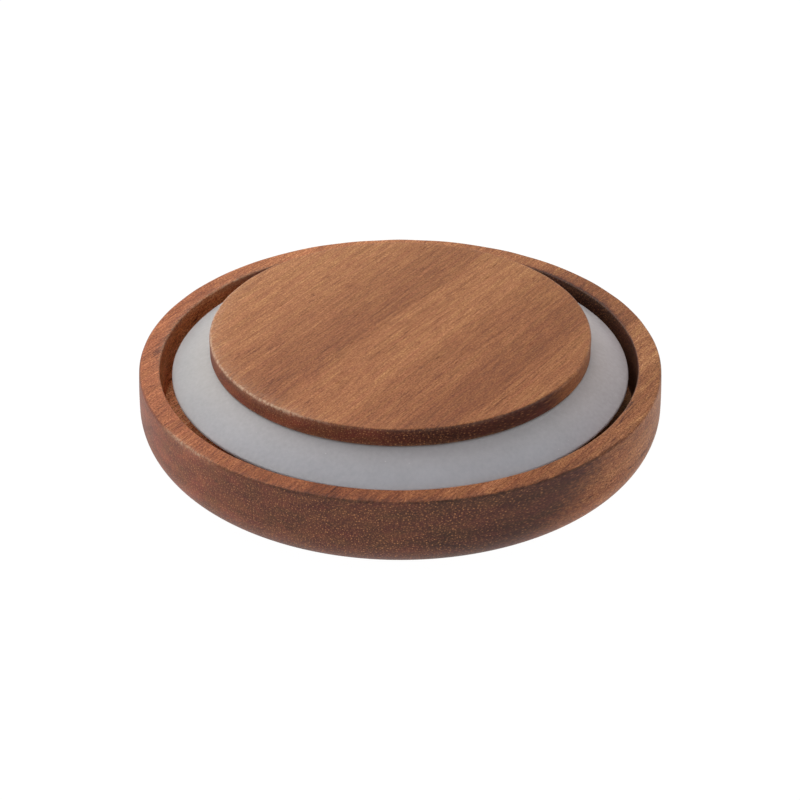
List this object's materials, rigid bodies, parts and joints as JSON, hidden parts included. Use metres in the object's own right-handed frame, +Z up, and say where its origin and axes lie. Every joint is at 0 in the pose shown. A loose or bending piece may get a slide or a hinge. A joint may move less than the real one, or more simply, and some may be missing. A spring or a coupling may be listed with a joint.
{
  "type": "storage jar lid",
  "caption": "Round wooden lid for a glass storage jar, lying upside down: rimmed cap, raised inner plug and a translucent silicone lip seal held in the plug's groove.",
  "frame": {"origin": "centre of the flat outside of the lid's top, which it lies on upside down", "axes": "+Z up, along the axis that every piece is turned about, out of the recess"},
  "size_m": [0.1106, 0.1106, 0.0244],
  "materials": {
    "cap_wood": "oiled, fine sanded",
    "plug_wood": "oiled, fine sanded",
    "seal_silicone": "translucent satin silicone"
  },
  "bodies": {
    "lid": {"outer_cap": "cap_wood", "inner_plug": "plug_wood"},
    "seal": {"seal_ring": "seal_silicone"}
  },
  "joints": [
    {"name": "seal_pull_off", "type": "slide", "parent": "lid", "child": "seal", "axis": [0, 0, 1], "range_m": [0, 0.02], "deforming": ["seal_ring"]}
  ]
}
